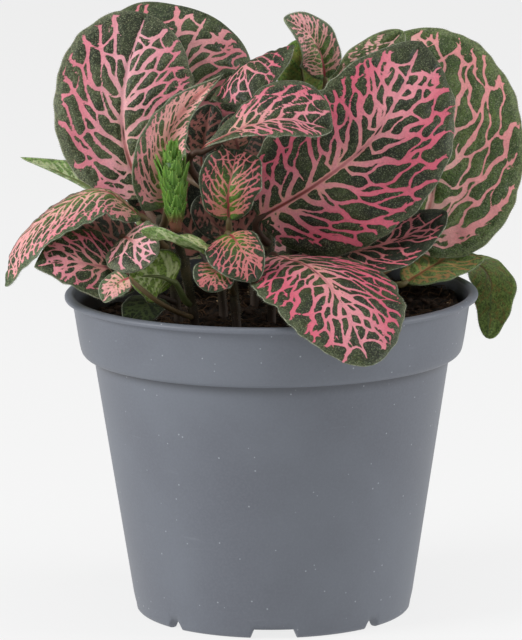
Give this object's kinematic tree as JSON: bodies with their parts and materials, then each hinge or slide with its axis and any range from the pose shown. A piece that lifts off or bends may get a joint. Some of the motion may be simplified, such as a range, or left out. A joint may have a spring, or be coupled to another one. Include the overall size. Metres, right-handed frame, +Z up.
{
  "type": "potted nerve plant",
  "caption": "Bushy nerve plant with round dark green leaves netted in pink veins, a green flower spike and soil, standing in a round tapered plastic nursery pot.",
  "frame": {"origin": "centre of the pot's foot, on the pot's axis and at the level of the surface that it stands on", "axes": "+Z up along the pot's axis, the front of the plant as in the picture towards -Y, +X to the viewer's right"},
  "size_m": [0.1506, 0.1375, 0.1751],
  "materials": {
    "pot": "satin",
    "soil": "matte",
    "stem": "matte",
    "leaf": "satin",
    "leaf_pale": "satin",
    "bract": "satin"
  },
  "bodies": {
    "root": {"pot": "pot", "soil": "soil", "stem_left": "stem", "stem_spike": "stem", "stem_front": "stem", "stem_centre": "stem", "stem_tall": "stem", "stem_inner": "stem", "stem_right": "stem", "stem_back": "stem", "stem_back_left": "stem", "stem_back_right": "stem", "leaf_upper_left": "leaf", "leaf_top_left": "leaf", "leaf_folded": "leaf", "leaf_top_centre": "leaf", "leaf_curled_tip": "leaf", "leaf_backlit": "leaf_pale", "leaf_pointed": "leaf", "leaf_large_right": "leaf", "leaf_back_tall_right": "leaf", "leaf_under_large": "leaf", "leaf_front": "leaf", "leaf_centre_oval": "leaf", "leaf_centre_low": "leaf", "leaf_left_arch": "leaf", "leaf_left_low": "leaf", "leaf_left_inner": "leaf", "leaf_left_lobe": "leaf", "leaf_pale_under": "leaf_pale", "leaf_curled_pale": "leaf_pale", "leaf_front_small": "leaf", "leaf_left_tip": "leaf_pale", "leaf_right_droop": "leaf", "leaf_inner_upper": "leaf", "leaf_inner_small": "leaf", "leaf_inner_low": "leaf", "leaf_in_pot": "leaf", "leaf_back_left_high": "leaf", "leaf_back_centre": "leaf", "leaf_back_right_high": "leaf", "leaf_back_right_side": "leaf", "leaf_back_left_side": "leaf", "leaf_back_low_left": "leaf", "leaf_back_low_right": "leaf", "leaf_behind_top_left": "leaf", "leaf_behind_large": "leaf", "leaf_behind_centre": "leaf", "leaf_left_mid": "leaf", "leaf_core_right": "leaf", "leaf_core_right_low": "leaf", "leaf_core_left": "leaf", "flower_spike": "bract"}
  },
  "joints": []
}
